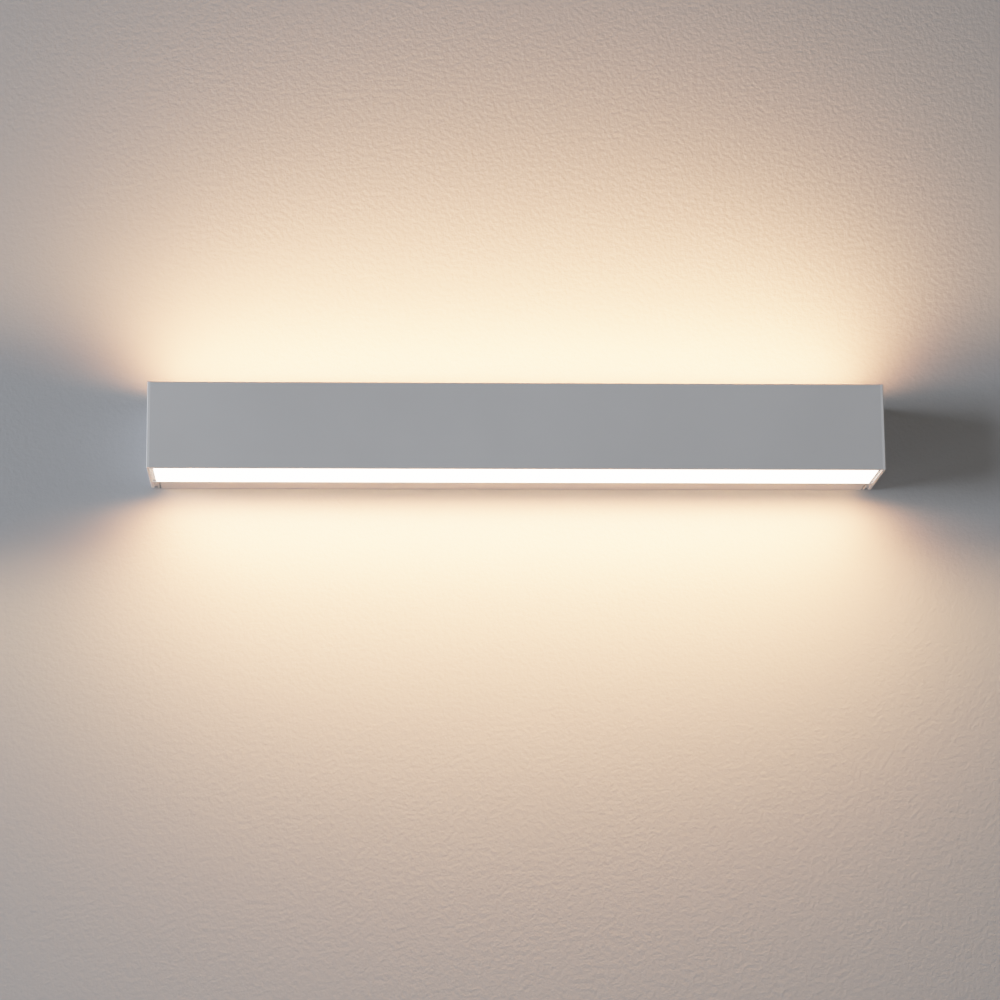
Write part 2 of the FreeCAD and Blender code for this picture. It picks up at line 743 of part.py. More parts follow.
def make_clamp_screws():
    """Socket set screws in the caps: their points stand just off the bracket's tabs."""
    diameter = "(Dims.clamp_screw_diameter - 2 * Dims.thread_gap)"
    outer = (f"({CAP_FACE} - Dims.clamp_screw_recess)", CLAMP_Y, "0")
    length = f"({CAP_FACE} - Dims.clamp_screw_recess - {TAB_FACE} - Dims.slide_gap)"
    stem_length = f"({length} - Dims.clamp_screw_point)"
    stem = cylinder("clamp_screw_stem", outer, -RIGHT, diameter, stem_length)
    shoulder = along(outer, -RIGHT, stem_length)
    tip = cone("clamp_screw_tip", shoulder, -RIGHT, diameter, f"{diameter} / 2", "Dims.clamp_screw_point")
    blank = fuse("clamp_screw_blank", [stem, tip])
    right_screw = keep(cut("right_clamp_screw", blank, [socket("clamp_screw_socket", outer, -RIGHT)]))
    mirrored("left_clamp_screw", right_screw, RIGHT)


# The diffusers and the LED boards


def make_diffusers():
    body = new_body("upper_diffuser")
    section = new_sketch(body, "diffuser_section", "YZ_Plane")
    step = f"({LIP_INSIDE} - Dims.fit_gap / 2)"
    face = f"({TOP} - Dims.diffuser_recess)"
    inside = f"({step} - Dims.diffuser_flange)"
    front_half = [
        (f"{FRONT_INSIDE} + Dims.fit_gap", inside),
        (f"{FRONT_INSIDE} + Dims.fit_gap", step),
        (f"{MOUTH_FRONT} + Dims.fit_gap", step),
        (f"{MOUTH_FRONT} + Dims.fit_gap", face),
    ]
    back_half = [(f"2 * {MIDDLE} - ({y})", z) for y, z in reversed(front_half)]
    polygon(section, front_half + back_half)
    pad(body, section, "Dims.profile_length - 2 * (Dims.rim_depth + Dims.fit_gap)", symmetric=True)
    mirrored("lower_diffuser", body, UP)


def make_led_boards():
    body = new_body("upper_led_board")
    outline = new_sketch(body, "board_outline", "XY_Plane", SHELF_OUTSIDE)
    rectangle(outline, f"-{BOARD_HALF}", BOARD_HALF, BOARD_FRONT, f"{MIDDLE} + Dims.board_width / 2")
    for place_number in BOARD_SCREW_PLACES:
        circle(outline, f"{place_number} * Dims.board_screw_pitch", BOARD_SCREW_Y, SMALL_HOLE)
    pad(body, outline, "Dims.board_thickness")
    mirrored("lower_led_board", body, UP)

    leds = []
    y = (f"{MIDDLE} - Dims.led_width / 2", f"{MIDDLE} + Dims.led_width / 2")
    z = (BOARD_TOP, f"{BOARD_TOP} + Dims.led_height")
    for number in range(round(value("Dims.led_count"))):
        centre = f"({BOARD_HALF} * ((2 * {number} + 1) / Dims.led_count - 1))"
        x = (f"{centre} - Dims.led_length / 2", f"{centre} + Dims.led_length / 2")
        leds.append(block(f"led_{number}", x, y, z))
    mirrored("lower_leds", group("upper_leds", leds), UP)

    screws = []
    reach = "Dims.board_thickness + Dims.shelf - Dims.screw_tip_gap"
    for number, place_number in enumerate(BOARD_SCREW_PLACES):
        point = (f"{place_number} * Dims.board_screw_pitch", BOARD_SCREW_Y, BOARD_TOP)
        screws.append(pan_screw(f"board_screw_{number}", point, -UP, "small_screw", reach))
    mirrored("lower_board_screws", group("upper_board_screws", screws), UP)

    connectors = []
    for side in ("upper", "lower"):
        half = "Dims.board_connector_length / 2"
        high = f"({BOARD_TOP} + Dims.board_connector_height)"
        z = (BOARD_TOP, high) if side == "upper" else (f"-{high}", f"-{BOARD_TOP}")
        x = (f"{LEAD_X[side]} - {half}", f"{LEAD_X[side]} + {half}")
        y = (BOARD_FRONT, f"{BOARD_FRONT} + Dims.board_connector_width")
        connectors.append(block(f"board_connector_{side}", x, y, z))
    group("board_connectors", connectors)


# The LED driver


def make_driver():
    wall = "Dims.driver_wall"
    inner_x = (f"{DRIVER_LEFT} + {wall}", f"{DRIVER_RIGHT} - {wall}")
    inner_y = (f"{DRIVER_FRONT} + {wall}", f"{DRIVER_BACK} - {wall}")
    outer_x = (DRIVER_LEFT, DRIVER_RIGHT)
    outer_y = (DRIVER_FRONT, DRIVER_BACK)
    outer = block("driver_outer", outer_x, outer_y, (FLOOR, DRIVER_JOINT))
    ear_y = (f"{MIDDLE} - Dims.driver_ear_width / 2", f"{MIDDLE} + Dims.driver_ear_width / 2")
    ear_z = (FLOOR, f"{FLOOR} + Dims.driver_ear_thickness")
    ear_left = (f"{DRIVER_LEFT} - Dims.driver_ear_length", DRIVER_LEFT)
    ear_right = (DRIVER_RIGHT, f"{DRIVER_RIGHT} + Dims.driver_ear_length")
    ears = [
        block("driver_ear_left", ear_left, ear_y, ear_z),
        block("driver_ear_right", ear_right, ear_y, ear_z),
    ]
    notch_y = (f"{MIDDLE} - Dims.notch_width / 2", f"{MIDDLE} + Dims.notch_width / 2")
    tools = [
        block("driver_inside", inner_x, inner_y, (f"{FLOOR} + {wall}", DRIVER_JOINT)),
        block("driver_notches", outer_x, notch_y, (CIRCUIT_TOP, DRIVER_JOINT)),
    ]
    for number, x in enumerate(DRIVER_SCREW_X):
        seat = (x, MIDDLE, FLOOR)
        hole = cylinder(f"driver_ear_hole_{number}", seat, UP, SMALL_HOLE, "Dims.driver_ear_thickness")
        tools.append(hole)
    shell = cut("driver_shell", fuse("driver_blank", [outer] + ears), tools)
    posts = []
    post = "Dims.post_diameter"
    for number, x in enumerate((f"{inner_x[0]} + {post}", f"{inner_x[1]} - {post}")):
        for row, y in enumerate((f"{inner_y[0]} + {post}", f"{inner_y[1]} - {post}")):
            foot = (x, y, f"{FLOOR} + {wall}")
            posts.append(cylinder(f"driver_post_{number}_{row}", foot, UP, post, "Dims.post_height"))
    keep(fuse("driver_base", [shell] + posts))

    cover_z = (DRIVER_JOINT, f"{DRIVER_JOINT} + Dims.driver_cover_height")
    cover_outer = block("cover_outer", outer_x, outer_y, cover_z)
    cover_inside = block("cover_inside", inner_x, inner_y, (DRIVER_JOINT, f"{cover_z[1]} - {wall}"))
    keep(cut("driver_cover", cover_outer, [cover_inside]))

    board_x = (f"{inner_x[0]} + Dims.fit_gap", f"{inner_x[1]} - Dims.fit_gap")
    board_y = (f"{inner_y[0]} + Dims.fit_gap", f"{inner_y[1]} - Dims.fit_gap")
    keep(block("driver_board", board_x, board_y, (CIRCUIT_BOTTOM, CIRCUIT_TOP)))

    centre = f"(({DRIVER_LEFT} + {DRIVER_RIGHT}) / 2)"
    keep(
        block(
            "driver_transformer",
            (f"{centre} - Dims.transformer_length / 2", f"{centre} + Dims.transformer_length / 2"),
            (f"{MIDDLE} - Dims.transformer_width / 2", f"{MIDDLE} + Dims.transformer_width / 2"),
            (CIRCUIT_TOP, f"{CIRCUIT_TOP} + Dims.transformer_height"),
        )
    )
    capacitors = []
    for number in range(2):
        offset = f"Dims.transformer_length / 2 + Dims.capacitor_offset + {number} * Dims.capacitor_pitch"
        foot = (f"{centre} + {offset}", MIDDLE, CIRCUIT_TOP)
        name = f"capacitor_{number}"
        capacitors.append(cylinder(name, foot, UP, "Dims.capacitor_diameter", "Dims.capacitor_height"))
    group("driver_capacitors", capacitors)

    connector_y = (f"{MIDDLE} - Dims.connector_width / 2", f"{MIDDLE} + Dims.connector_width / 2")
    connector_z = (CIRCUIT_TOP, f"{CIRCUIT_TOP} + Dims.connector_height")
    left_face = f"({DRIVER_LEFT} + Dims.connector_inset)"
    right_face = f"({DRIVER_RIGHT} - Dims.connector_inset)"
    out_x = (left_face, f"{left_face} + Dims.connector_length")
    in_x = (f"{right_face} - Dims.connector_length", right_face)
    connectors = [
        block("connector_out", out_x, connector_y, connector_z),
        block("connector_in", in_x, connector_y, connector_z),
    ]
    group("driver_connectors", connectors)

    reach = "Dims.driver_ear_thickness + Dims.shelf - Dims.screw_tip_gap"
    screws = []
    for number, x in enumerate(DRIVER_SCREW_X):
        point = (x, MIDDLE, f"{FLOOR} + Dims.driver_ear_thickness")
        screws.append(pan_screw(f"driver_screw_{number}", point, -UP, "small_screw", reach))
    group("driver_screws", screws)


# The terminal block


def make_terminal():
    body = new_body("terminal_block")
    outline = new_sketch(body, "terminal_outline", "XZ_Plane", f"-{TERMINAL_BACK}")
    left = f"(Dims.terminal_x - {TERMINAL_HALF})"
    right = f"(Dims.terminal_x + {TERMINAL_HALF})"
    ear_left = f"({left} - Dims.terminal_ear_length)"
    ear_right = f"({right} + Dims.terminal_ear_length)"
    ear_top = f"({FLOOR} + Dims.terminal_ear_thickness)"
    top = f"({FLOOR} + Dims.terminal_height)"
    polygon(
        outline,
        [
            (ear_left, FLOOR),
            (ear_right, FLOOR),
            (ear_right, ear_top),
            (right, ear_top),
            (right, top),
            (left, top),
            (left, ear_top),
            (ear_left, ear_top),
        ],
    )
    pad(body, outline, "Dims.terminal_depth")

    wells = new_sketch(body, "button_wells", "XZ_Plane", f"-{TERMINAL_BACK}")
    entries = new_sketch(body, "wire_entries", "XZ_Plane", f"-{TERMINAL_BACK}")
    half_well = "(Dims.button_size / 2 + Dims.fit_gap)"
    well_z = (f"{BUTTON_Z} - {half_well}", f"{BUTTON_Z} + {half_well}")
    for x in POLE_X.values():
        rectangle(wells, f"{x} - {half_well}", f"{x} + {half_well}", *well_z)
        circle(entries, x, f"{FLOOR} + Dims.entry_height", "Dims.entry_diameter")
    well_depth = "Dims.button_length - Dims.button_proud + Dims.button_travel + Dims.slide_gap"
    pocket(body, wells, well_depth, symmetric=False, reverse=True)
    pocket(body, entries, "Dims.entry_depth", symmetric=False, reverse=True)
    ear_holes = new_sketch(body, "terminal_ear_holes", "XY_Plane", FLOOR)
    for x in TERMINAL_SCREW_X:
        circle(ear_holes, x, TERMINAL_SCREW_Y, SMALL_HOLE)
    pocket(body, ear_holes, f"{THROUGH} * Dims.terminal_ear_thickness")

    half = "Dims.button_size / 2"
    button_back = f"({TERMINAL_BACK} + Dims.button_proud)"
    plunger_y = (f"{button_back} - Dims.button_length", button_back)
    plunger_z = (f"{BUTTON_Z} - {half}", f"{BUTTON_Z} + {half}")
    groove_y = (f"{button_back} - Dims.button_slot", button_back)
    groove_z = (f"{BUTTON_Z} - Dims.button_slot / 2", f"{BUTTON_Z} + Dims.button_slot / 2")
    for pole, x in POLE_X.items():
        sides = (f"{x} - {half}", f"{x} + {half}")
        plunger = block(f"{pole}_plunger", sides, plunger_y, plunger_z)
        groove = block(f"{pole}_groove", sides, groove_y, groove_z)
        keep(cut(f"{pole}_release_button", plunger, [groove]))

    reach = "Dims.terminal_ear_thickness + Dims.shelf - Dims.screw_tip_gap"
    screws = []
    for number, x in enumerate(TERMINAL_SCREW_X):
        point = (x, TERMINAL_SCREW_Y, ear_top)
        screws.append(pan_screw(f"terminal_screw_{number}", point, -UP, "small_screw", reach))
    group("terminal_screws", screws)


# The leads, their bushings and the earth connection


def make_leads():
    mains_row = f"({CIRCUIT_TOP} + Dims.lead_row_low)"
    entry_x = f"({DRIVER_RIGHT} - Dims.connector_inset)"
    approach_x = f"({DRIVER_RIGHT} + Dims.connector_length)"
    slack_x = f"(({DRIVER_RIGHT} + Dims.terminal_x) / 2)"
    slack_z = f"({FLOOR} + 2 * Dims.mains_lead)"
    step = "(Dims.connector_width / 4)"
    for pole, sign in (("live", 1), ("neutral", -1)):
        entry_y = f"({MIDDLE} + {sign} * {step})"
        points = [
            (POLE_X[pole], TERMINAL_FRONT, MAINS_LEAD_Z),
            (POLE_X[pole], f"({entry_y} - 2 * {step})", MAINS_LEAD_Z),
            (slack_x, f"({entry_y} - {step})", slack_z),
            (approach_x, entry_y, mains_row),
            (entry_x, entry_y, mains_row),
        ]
        keep(tube(f"{pole}_lead", points, "Dims.mains_lead"))

    barrel_z = f"({FLOOR} + Dims.barrel_diameter / 2)"
    barrel_end = "(Dims.earth_screw_x - Dims.barrel_length)"
    points = [
        (POLE_X["earth"], TERMINAL_FRONT, MAINS_LEAD_Z),
        (POLE_X["earth"], MIDDLE, MAINS_LEAD_Z),
        (f"(({POLE_X['earth']} + {barrel_end}) / 2)", MIDDLE, barrel_z),
        (barrel_end, MIDDLE, barrel_z),
    ]
    keep(tube("earth_lead", points, "Dims.mains_lead"))

    start_x = f"({DRIVER_LEFT} + Dims.connector_inset)"
    plug_z = f"({BOARD_TOP} + Dims.board_connector_height / 2)"
    ends = (("upper", "Dims.lead_row_high", plug_z), ("lower", "Dims.lead_row_low", f"-{plug_z}"))
    for pole, sign in (("positive", 1), ("negative", -1)):
        tubes = []
        for side, row, plug in ends:
            x = f"({LEAD_X[side]} + {sign} * Dims.led_lead_pitch / 2)"
            start_y = f"({MIDDLE} - {sign} * Dims.led_lead_pitch / 2)"
            row_z = f"({CIRCUIT_TOP} + {row})"
            points = [
                (start_x, start_y, row_z),
                (f"({DRIVER_LEFT} - Dims.led_lead)", start_y, row_z),
                (x, LEAD_Y, row_z),
                (x, LEAD_Y, plug),
                (x, BOARD_FRONT, plug),
            ]
            tubes.append(tube(f"{side}_{pole}_lead", points, "Dims.led_lead"))
        group(f"{pole}_led_leads", tubes)


def make_bushings():
    """Bushings that keep the LED leads off the edges of the shelf holes."""
    neck = f"({LEAD_HOLE} - 2 * Dims.thread_gap)"
    rim = f"({LEAD_HOLE} + 2 * Dims.bushing_rim)"
    bushings = []
    for side, sign, axis in (("upper", "", UP), ("lower", "-", -UP)):
        seat = (LEAD_X[side], LEAD_Y, f"{sign}{SHELF_INSIDE}")
        rim_start = along(seat, -axis, "Dims.bushing_rim_height")
        length = "(Dims.shelf + Dims.bushing_rim_height)"
        parts = [
            cylinder(f"bushing_neck_{side}", seat, axis, neck, "Dims.shelf"),
            cylinder(f"bushing_rim_{side}", rim_start, axis, rim, "Dims.bushing_rim_height"),
        ]
        blank = fuse(f"bushing_blank_{side}", parts)
        bore = cylinder(f"bushing_bore_{side}", rim_start, axis, "Dims.bushing_bore", length)
        bushings.append(cut(f"bushing_{side}", blank, [bore]))
    group("lead_bushings", bushings)


def make_earth_connection():
    seat = ("Dims.earth_screw_x", MIDDLE, FLOOR)
    barrel_z = f"{FLOOR} + Dims.barrel_diameter / 2"
    barrel_start = ("Dims.earth_screw_x - Dims.barrel_length", MIDDLE, barrel_z)
    barrel_length = "Dims.barrel_length - Dims.tag_diameter / 2 - Dims.tag_thickness"
    tongue_half = "Dims.barrel_diameter / 2"
    parts = [
        cylinder("tag_ring", seat, UP, "Dims.tag_diameter", "Dims.tag_thickness"),
        cylinder("tag_barrel", barrel_start, RIGHT, "Dims.barrel_diameter", barrel_length),
        block(
            "tag_tongue",
            ("Dims.earth_screw_x - Dims.barrel_length + Dims.barrel_diameter", "Dims.earth_screw_x"),
            (f"{MIDDLE} - {tongue_half}", f"{MIDDLE} + {tongue_half}"),
            (FLOOR, f"{FLOOR} + Dims.tag_thickness"),
        ),
    ]
    blank = fuse("tag_blank", parts)
    hole_size = "Dims.earth_screw_shank + 2 * Dims.thread_gap"
    hole = cylinder("tag_hole", seat, UP, hole_size, "Dims.tag_thickness")
    keep(cut("earth_tag", blank, [hole]))
    point = along(seat, UP, "Dims.tag_thickness")
    reach = "Dims.tag_thickness + Dims.shelf - Dims.screw_tip_gap"
    keep(pan_screw("earth_screw", point, -UP, "earth_screw", reach))


def check_and_export():
    """Writes each sub-part to a file of its own, if every object of the document is sound."""
    doc.recompute()
    for feature in doc.Objects:
        if {"Invalid", "Error"} & set(feature.State):
            raise RuntimeError(f"{feature.Label} did not build: {feature.State}")
    for feature in subparts:
        if feature.Shape.isNull() or not feature.Shape.isValid() or not feature.Shape.Solids:
            raise RuntimeError(f"{feature.Label} is not a sound solid")
    os.makedirs("parts", exist_ok=True)
    for feature in subparts:
        feature.Shape.exportStep(f"parts/{feature.Label}.step")
    print(len(subparts), "sub-parts written")


fill_sheet()
make_bracket()
make_grommet()
make_front_profile()
make_back_profile()
make_end_caps()
make_cap_screws()
make_clamp_screws()
make_diffusers()
make_led_boards()
make_driver()
make_terminal()
make_leads()
make_bushings()
make_earth_connection()
check_and_export()
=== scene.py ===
import json
import math

import bpy
from mathutils import Matrix, Vector

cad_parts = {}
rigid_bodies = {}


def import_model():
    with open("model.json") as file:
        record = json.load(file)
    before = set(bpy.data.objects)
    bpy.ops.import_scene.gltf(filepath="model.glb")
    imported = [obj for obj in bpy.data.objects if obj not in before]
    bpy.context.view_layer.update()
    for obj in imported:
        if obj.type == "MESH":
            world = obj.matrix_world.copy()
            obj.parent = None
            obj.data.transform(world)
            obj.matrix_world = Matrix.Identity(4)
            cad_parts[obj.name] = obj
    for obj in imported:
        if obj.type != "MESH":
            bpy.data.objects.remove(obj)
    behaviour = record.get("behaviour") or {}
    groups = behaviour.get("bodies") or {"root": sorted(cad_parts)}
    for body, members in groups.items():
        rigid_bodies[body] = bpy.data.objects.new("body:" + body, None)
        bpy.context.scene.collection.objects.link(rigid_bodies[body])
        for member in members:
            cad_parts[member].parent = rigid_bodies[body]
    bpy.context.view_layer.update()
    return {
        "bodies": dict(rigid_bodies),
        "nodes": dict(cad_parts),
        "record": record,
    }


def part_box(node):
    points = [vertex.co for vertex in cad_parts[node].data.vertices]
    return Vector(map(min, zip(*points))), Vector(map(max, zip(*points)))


# Looks of the wall lamp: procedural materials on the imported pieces, a wall and floor, light and the camera.
# Metres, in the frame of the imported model: the wall is y = 0, the room lies towards -Y and +Z is up.

# Camera, fitted to the corners of the lamp's front face and of its caps
FRAME_SIDE = 1000
FOCAL_PIXELS = 3241.0
SENSOR_WIDTH = 36.0
CAMERA_PLACE = Vector((-0.1466, -2.6566, -0.6193))
CAMERA_YAW = math.radians(2.922)
CAMERA_PITCH = math.radians(12.181)
CAMERA_ROLL = math.radians(-0.493)

# Stage
WALL_GAP = 0.0006
WALL_HALF_WIDTH = 4.0
WALL_TOP = 2.6
FLOOR_LEVEL = -2.4
FLOOR_HALF_WIDTH = 12.0

# Light
STRIP_COLOR = (1.0, 0.94, 0.84, 1.0)
STRIP_STRENGTH = 3.0
WASH_OFFSET = 0.0003
WASHES = {
    "near": {"spread": math.radians(165), "power": 2.65, "color": (1.0, 0.44, 0.17)},
    "far": {"spread": math.radians(120), "power": 1.0, "color": (1.0, 0.64, 0.35)},
}
HALO = {"spread": math.radians(80), "color": (1.0, 0.69, 0.385)}
HALO_POWERS = {"upper_diffuser": 0.75, "lower_diffuser": 1.25}
HALO_LENGTH = 1.6
EDGE_GLOW = {"spread": math.radians(70), "power": 0.028, "color": (1.0, 0.55, 0.25)}
EDGE_GLOW_WIDTH = 0.003
EDGE_GLOW_INSET = 0.006
ROOM_LIGHTS = {
    "key": {"place": (-6.2, -3.8, -0.1), "size": 2.6, "power": 365.0, "color": (0.885, 0.935, 1.0)},
    "rear": {"place": (1.2, 2.6, 1.4), "size": 1.6, "power": 60.0, "color": (1.0, 1.0, 1.0)},
}
WORLD_COLOR = (1.0, 0.91, 0.79, 1.0)
WORLD_STRENGTH = 0.15
HIGHLIGHT_KNEE = 0.4
HIGHLIGHT_END = 4.0
HIGHLIGHT_STEPS = 9

# LED boards
BOARD_HALF_LENGTH = 0.291
LED_COUNT = 58
LED_PITCH = 2 * BOARD_HALF_LENGTH / LED_COUNT
LED_WINDOW = 0.00115

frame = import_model()
nodes = frame["nodes"]
scene = bpy.context.scene


# Helpers for node trees


def new_material(name):
    """A material that holds one Principled shader."""
    material = bpy.data.materials.new(name)
    material.use_nodes = True
    tree = material.node_tree
    return material, tree, tree.nodes["Principled BSDF"]


def add(tree, kind, inputs=None, **settings):
    """A node of a kind, with its settings made and its inputs set or linked."""
    node = tree.nodes.new(f"ShaderNode{kind}")
    for key, setting in settings.items():
        setattr(node, key, setting)
    connect(tree, node, inputs or {})
    return node


def connect(tree, node, inputs):
    for key, source in inputs.items():
        if isinstance(source, bpy.types.NodeSocket):
            tree.links.new(source, node.inputs[key])
        else:
            node.inputs[key].default_value = source


def places(tree, scale=(1, 1, 1)):
    """The surface's own place in metres, stretched along each axis."""
    coords = add(tree, "TexCoord").outputs["Object"]
    if scale == (1, 1, 1):
        return coords
    return add(tree, "Mapping", {"Vector": coords, "Scale": scale}).outputs["Vector"]


def axes(tree):
    """The surface's place as three separate numbers."""
    parts = add(tree, "SeparateXYZ", {0: places(tree)})
    return parts.outputs[0], parts.outputs[1], parts.outputs[2]


def noise(tree, vector, scale, detail=2.0, roughness=0.5):
    inputs = {"Vector": vector, "Scale": scale, "Detail": detail, "Roughness": roughness}
    return add(tree, "TexNoise", inputs).outputs["Fac"]


def calc(tree, operation, first, second=0.0):
    return add(tree, "Math", {0: first, 1: second}, operation=operation).outputs[0]


def between(tree, fac, low, high, start=0.3, end=0.7):
    """A number that goes from low to high as the factor goes from start to end."""
    inputs = {"Value": fac, "From Min": start, "From Max": end, "To Min": low, "To Max": high}
    return add(tree, "MapRange", inputs).outputs["Result"]


def shades(tree, fac, dark, light, start=0.3, end=0.7):
    """A colour between two, by a factor."""
    node = add(tree, "ValToRGB", {"Fac": fac})
    first, last = node.color_ramp.elements
    first.position, last.position = start, end
    first.color, last.color = (*dark, 1.0), (*light, 1.0)
    return node.outputs["Color"]


def pick(tree, fac, off, on):
    """One of two colours or numbers: off where the factor is 0 and on where it is 1."""
    is_number = isinstance(off, float)
    node = add(tree, "Mix", data_type="FLOAT" if is_number else "RGBA")
    start = 2 if is_number else 6
    connect(tree, node, {0: fac})
    for index, source in ((start, off), (start + 1, on)):
        if isinstance(source, tuple):
            source = (*source, 1.0)
        connect(tree, node, {index: source})
    return node.outputs[0 if is_number else 2]


def bump(tree, height, strength, distance):
    return add(tree, "Bump", {"Strength": strength, "Distance": distance, "Height": height}).outputs["Normal"]


# Materials of the lamp


def satin_paint(name, dark, light):
    """Powder coat: an even colour with a fine grain and a slow change of gloss."""
    material, tree, shader = new_material(name)
    spot = places(tree)
    cloud = noise(tree, spot, 7.0, 3.0)
    speck = noise(tree, spot, 2600.0, 2.0)
    tone = calc(tree, "MULTIPLY_ADD", speck, 0.25)
    connect(tree, tone.node, {2: cloud})
    grain = noise(tree, spot, 1500.0, 3.0, 0.6)
    connect(
        tree,
        shader,
        {
            "Base Color": shades(tree, tone, dark, light, 0.35, 0.85),
            "Roughness": between(tree, noise(tree, spot, 90.0, 3.0), 0.40, 0.52),
            "Specular IOR Level": 0.25,
            "Normal": bump(tree, grain, 0.25, 0.0001),
        },
    )
    return material


def opal_plastic():
    """Opal strip, lit from inside: even, with a slight fall-off towards its long edges."""
    material, tree, shader = new_material("opal_plastic")
    low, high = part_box("lower_diffuser")
    middle = (low.y + high.y) / 2
    half = (high.y - low.y) / 2
    _, y, _ = axes(tree)
    offset = calc(tree, "ABSOLUTE", calc(tree, "DIVIDE", calc(tree, "SUBTRACT", y, middle), half))
    strength = between(tree, calc(tree, "POWER", offset, 6.0), STRIP_STRENGTH, 0.8 * STRIP_STRENGTH, 0.0, 1.0)
    haze = noise(tree, places(tree), 40.0, 2.0)
    connect(
        tree,
        shader,
        {
            "Base Color": shades(tree, haze, (0.90, 0.89, 0.86), (0.94, 0.93, 0.90)),
            "Roughness": between(tree, noise(tree, places(tree), 300.0), 0.32, 0.42),
            "Emission Color": STRIP_COLOR,
            "Emission Strength": strength,
        },
    )
    return material


def screw_steel():
    """Nickel-plated screws with fine turning marks."""
    material, tree, shader = new_material("screw_steel")
    marks = noise(tree, places(tree), 4000.0, 2.0)
    stain = noise(tree, places(tree), 350.0, 3.0)
    connect(
        tree,
        shader,
        {
            "Base Color": shades(tree, stain, (0.50, 0.50, 0.50), (0.66, 0.66, 0.65)),
            "Metallic": 1.0,
            "Roughness": between(tree, marks, 0.24, 0.38),
            "Normal": bump(tree, marks, 0.10, 0.00003),
        },
    )
    return material


def black_rubber():
    material, tree, shader = new_material("black_rubber")
    bloom = noise(tree, places(tree), 120.0, 4.0, 0.6)
    connect(
        tree,
        shader,
        {
            "Base Color": shades(tree, bloom, (0.016, 0.016, 0.017), (0.038, 0.037, 0.036)),
            "Roughness": between(tree, bloom, 0.62, 0.82),
            "Normal": bump(tree, noise(tree, places(tree), 1800.0), 0.2, 0.0001),
        },
    )
    return material


def led_cell(tree):
    """Where a point lies across its own LED: metres along the board and across it."""
    x, y, _ = axes(tree)
    low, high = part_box("upper_leds")
    turn = calc(tree, "FRACT", calc(tree, "DIVIDE", calc(tree, "ADD", x, BOARD_HALF_LENGTH), LED_PITCH))
    along = calc(tree, "MULTIPLY", calc(tree, "SUBTRACT", turn, 0.5), LED_PITCH)
    across = calc(tree, "SUBTRACT", y, (low.y + high.y) / 2)
    return along, across


def board_white():
    """White solder mask over copper: each LED's two pads show as slightly raised cream fields."""
    material, tree, shader = new_material("board_white")
    along, across = led_cell(tree)
    width = calc(tree, "ABSOLUTE", across)
    gap = calc(tree, "GREATER_THAN", calc(tree, "ABSOLUTE", along), 0.0004)
    field = calc(tree, "MULTIPLY", calc(tree, "LESS_THAN", width, 0.0065), gap)
    mottle = noise(tree, places(tree), 500.0, 2.0)
    mask = shades(tree, mottle, (0.80, 0.81, 0.81), (0.86, 0.86, 0.86))
    connect(
        tree,
        shader,
        {
            "Base Color": pick(tree, field, mask, (0.88, 0.86, 0.80)),
            "Roughness": between(tree, mottle, 0.34, 0.44),
            "Normal": bump(tree, field, 0.5, 0.00004),
        },
    )
    return material


def led_phosphor():
    """White LED packages, each with a round yellow window."""
    material, tree, shader = new_material("led_phosphor")
    along, across = led_cell(tree)
    square = calc(tree, "ADD", calc(tree, "POWER", along, 2.0), calc(tree, "POWER", across, 2.0))
    window = calc(tree, "LESS_THAN", square, LED_WINDOW ** 2)
    mottle = noise(tree, places(tree), 2500.0)
    phosphor = shades(tree, mottle, (0.86, 0.62, 0.10), (0.92, 0.72, 0.18))
    connect(
        tree,
        shader,
        {
            "Base Color": pick(tree, window, (0.86, 0.86, 0.84), phosphor),
            "Roughness": pick(tree, window, 0.45, 0.22),
            "Normal": bump(tree, window, 0.4, 0.0001),
        },
    )
    return material


def moulded_plastic(name, dark, light, gloss, texture=900.0):
    """Injection-moulded plastic: an even colour, a fine spark-eroded skin and slow flow marks."""
    material, tree, shader = new_material(name)
    flow = noise(tree, places(tree, (25, 60, 60)), 1.0, 3.0)
    skin = noise(tree, places(tree), texture, 3.0, 0.6)
    connect(
        tree,
        shader,
        {
            "Base Color": shades(tree, flow, dark, light),
            "Roughness": between(tree, skin, gloss, gloss + 0.12),
            "Normal": bump(tree, skin, 0.2, 0.0001),
        },
    )
    return material


def circuit_green():
    """Green laminate with copper tracks under the mask."""
    material, tree, shader = new_material("circuit_green")
    cells = add(
        tree,
        "TexVoronoi",
        {"Vector": places(tree, (140, 260, 140)), "Scale": 1.0},
        feature="DISTANCE_TO_EDGE",
    )
    track = calc(tree, "LESS_THAN", cells.outputs["Distance"], 0.09)
    weave = noise(tree, places(tree), 900.0)
    base = shades(tree, weave, (0.020, 0.130, 0.055), (0.030, 0.165, 0.075))
    connect(
        tree,
        shader,
        {
            "Base Color": pick(tree, track, base, (0.060, 0.260, 0.110)),
            "Roughness": between(tree, weave, 0.28, 0.40),
            "Normal": bump(tree, track, 0.4, 0.00004),
        },
    )
    return material


def transformer_tape():
    """Yellow tape round the winding, with the dark ferrite core showing at both ends."""
    material, tree, shader = new_material("transformer_tape")
    low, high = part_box("driver_transformer")
    x, _, z = axes(tree)
    reach = calc(tree, "ABSOLUTE", calc(tree, "SUBTRACT", x, (low.x + high.x) / 2))
    core = calc(tree, "GREATER_THAN", reach, 0.36 * (high.x - low.x))
    layer = calc(tree, "SINE", calc(tree, "MULTIPLY", z, 2500.0))
    tape = shades(tree, layer, (0.62, 0.44, 0.05), (0.74, 0.55, 0.08), 0.0, 1.0)
    connect(
        tree,
        shader,
        {
            "Base Color": pick(tree, core, tape, (0.035, 0.034, 0.036)),
            "Roughness": pick(tree, core, 0.35, 0.7),
            "Normal": bump(tree, layer, 0.2, 0.0001),
        },
    )
    return material


